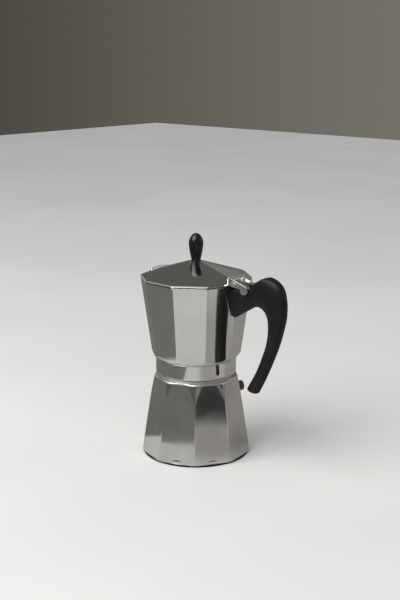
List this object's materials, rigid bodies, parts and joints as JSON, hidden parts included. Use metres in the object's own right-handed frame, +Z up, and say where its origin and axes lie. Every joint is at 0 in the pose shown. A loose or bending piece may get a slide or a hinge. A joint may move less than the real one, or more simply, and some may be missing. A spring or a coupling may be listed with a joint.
{
  "type": "moka pot",
  "caption": "Stovetop coffee maker: faceted aluminium boiler, ten-sided upper pot with pouring beak, hinged lid with black knob, and black hook handle; the upper pot unscrews from the boiler.",
  "frame": {"origin": "centre of the boiler's underside, on the surface it stands on", "axes": "+Z up along the pot's axis, +X towards the handle, -X towards the pouring beak"},
  "size_m": [0.17, 0.1044, 0.218],
  "materials": {
    "cast_aluminium": "polished casting",
    "thin_aluminium": "satin",
    "valve_brass": "darkened",
    "seal_rubber": "matte",
    "steel": "plain",
    "black_plastic": "satin",
    "black_gloss": "gloss"
  },
  "bodies": {
    "boiler_base": {"boiler": "cast_aluminium", "valve_body": "valve_brass", "valve_washer": "seal_rubber", "valve_seat": "valve_brass", "valve_spring": "steel"},
    "relief_pin": {"valve_pin": "valve_brass", "valve_seal": "seal_rubber"},
    "brew_stack": {"funnel": "thin_aluminium", "funnel_disc": "thin_aluminium", "gasket": "seal_rubber", "filter_plate": "thin_aluminium"},
    "serving_pot": {"collector": "cast_aluminium", "column": "cast_aluminium", "handle": "black_plastic", "handle_screw": "steel", "hinge_pin": "steel"},
    "lid_group": {"lid": "cast_aluminium", "hinge_leaf": "cast_aluminium", "hinge_rivets": "steel", "knob": "black_gloss", "knob_screw": "steel", "knob_washer": "steel"}
  },
  "joints": [
    {"name": "relief_slide", "type": "slide", "parent": "boiler_base", "child": "relief_pin", "axis": [0.6255, 0.7669, 0.1435], "range_m": [0, 0.0012], "stiffness_N_per_m": 800, "springref_m": -0.0016, "deforming": ["valve_spring"]},
    {"name": "stack_rise", "type": "slide", "parent": "boiler_base", "child": "brew_stack", "axis": [0, 0, 1], "range_m": [0, 0.00676]},
    {"name": "pot_unscrew", "type": "hinge", "parent": "brew_stack", "child": "serving_pot", "pos_m": [0, 0, 0.086], "axis": [0, 0, 1], "range_deg": [0, 810]},
    {"name": "lid_hinge", "type": "hinge", "parent": "serving_pot", "child": "lid_group", "pos_m": [0.0665, 0, 0.173], "axis": [0, 1, 0], "range_deg": [0, 100]}
  ],
  "couplings": [
    {"joint": "stack_rise", "follows": "pot_unscrew", "m_per_rad": 0.00047746}
  ]
}
